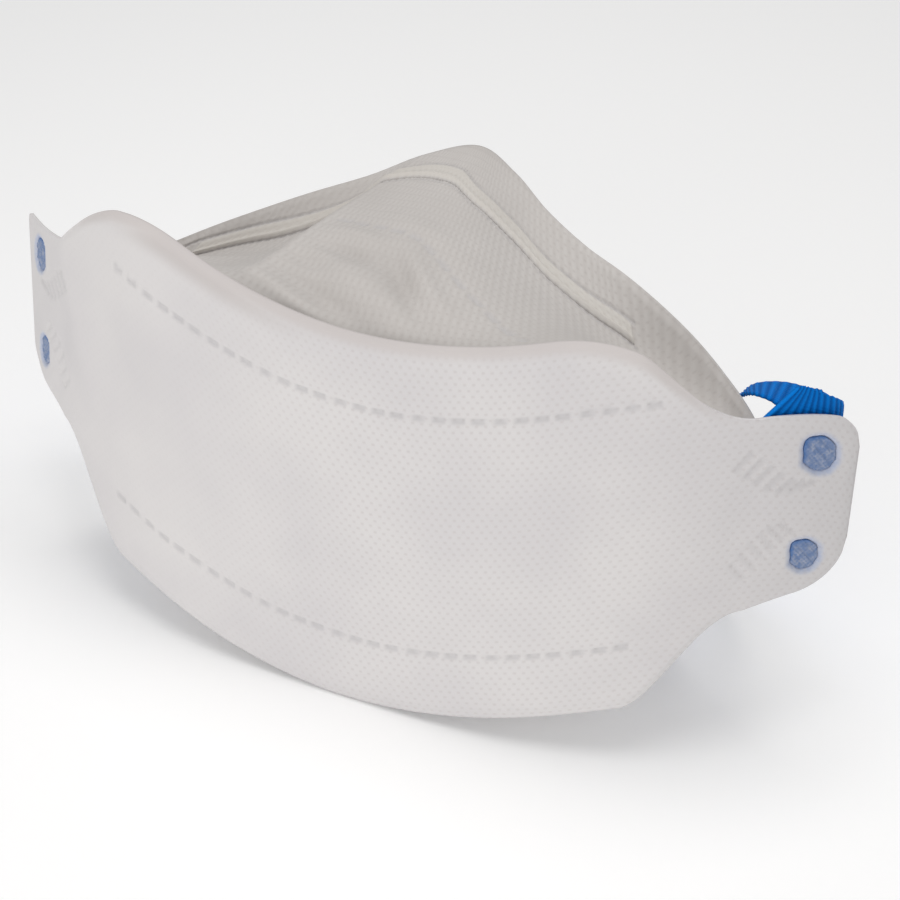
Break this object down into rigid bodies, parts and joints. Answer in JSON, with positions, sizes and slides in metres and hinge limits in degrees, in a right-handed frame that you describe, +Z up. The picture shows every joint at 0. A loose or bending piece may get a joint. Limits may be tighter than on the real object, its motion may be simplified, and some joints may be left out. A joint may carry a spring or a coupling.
{
  "type": "respirator mask",
  "caption": "Fold-flat respirator mask, opened and resting on its chin panel, with a wide front panel, a folded nose panel, a nose strip, welded ear tabs and elastic straps.",
  "frame": {"origin": "on the floor, under the middle of the mask's bounding box", "axes": "+X across the face to the viewer's right, +Y from the front panel into the mask, +Z up"},
  "size_m": [0.1956, 0.1022, 0.0982],
  "materials": {
    "panel": "matt nonwoven, finely dotted, off-white",
    "top_panel": "matt nonwoven, finely striped, warm off-white",
    "nose_strip": "nonwoven over a soft metal strip, welded along both sides",
    "strap": "bright blue knitted elastic with cross ribs",
    "weld": "fused, mottled blue-grey"
  },
  "bodies": {
    "root": {"centre_panel": "panel", "top_panel": "top_panel", "chin_panel": "panel", "nose_strip": "nose_strip", "head_strap": "strap", "neck_strap": "strap", "head_weld_left": "weld", "head_weld_right": "weld", "neck_weld_left": "weld", "neck_weld_right": "weld"}
  },
  "joints": []
}
